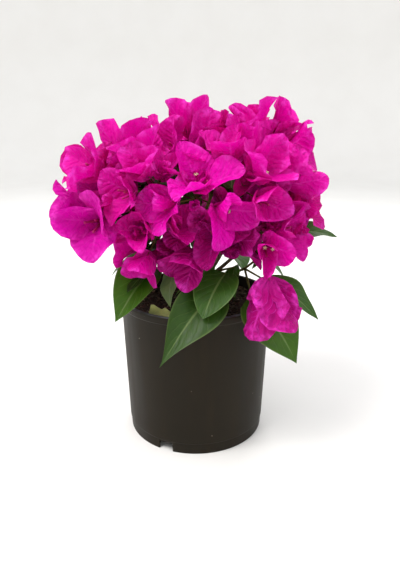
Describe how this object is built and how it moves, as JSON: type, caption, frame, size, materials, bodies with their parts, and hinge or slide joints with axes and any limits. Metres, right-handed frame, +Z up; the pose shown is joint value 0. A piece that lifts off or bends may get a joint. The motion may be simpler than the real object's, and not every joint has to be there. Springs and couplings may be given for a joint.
{
  "type": "bougainvillea bush in a nursery pot",
  "caption": "Potted bougainvillea bush: a short woody trunk, arching boughs under dense magenta bract sprays, broad leaves over the rim of a round black pot.",
  "frame": {"origin": "on the surface the pot stands on, under the middle of the object's box, which is the pot's axis within 3 mm", "axes": "+Z up; -Y is the side the picture is taken from; +X is the viewer's right"},
  "size_m": [0.2981, 0.24, 0.3673],
  "materials": {
    "pot_plastic": "satin black injection-moulded plastic with fine dust and light scuffs",
    "potting_mix": "dark brown crumbly potting mix with bark chips",
    "bark": "grey-brown woody bark, greener towards the tips",
    "bracts": "papery magenta bracts with crinkled lateral veins",
    "leaf_green": "glossy mid-green leaves with a pale midrib"
  },
  "bodies": {
    "root": {"pot": "pot_plastic", "soil": "potting_mix", "trunk": "bark", "bough_left": "bark", "bough_upper_left": "bark", "bough_front_middle": "bark", "bough_front_right": "bark", "bough_top": "bark", "bough_upper_right": "bark", "bough_right": "bark", "bough_low_left": "bark", "bough_back_right": "bark", "bough_back_left": "bark", "blossom_left": "bracts", "blossom_upper_left": "bracts", "blossom_front_middle": "bracts", "blossom_front_right": "bracts", "blossom_top": "bracts", "blossom_upper_right": "bracts", "blossom_right": "bracts", "blossom_low_left": "bracts", "blossom_back_right": "bracts", "blossom_back_left": "bracts", "leaves_front": "leaf_green", "leaves_left": "leaf_green", "leaves_right": "leaf_green", "leaves_back": "leaf_green"}
  },
  "joints": []
}
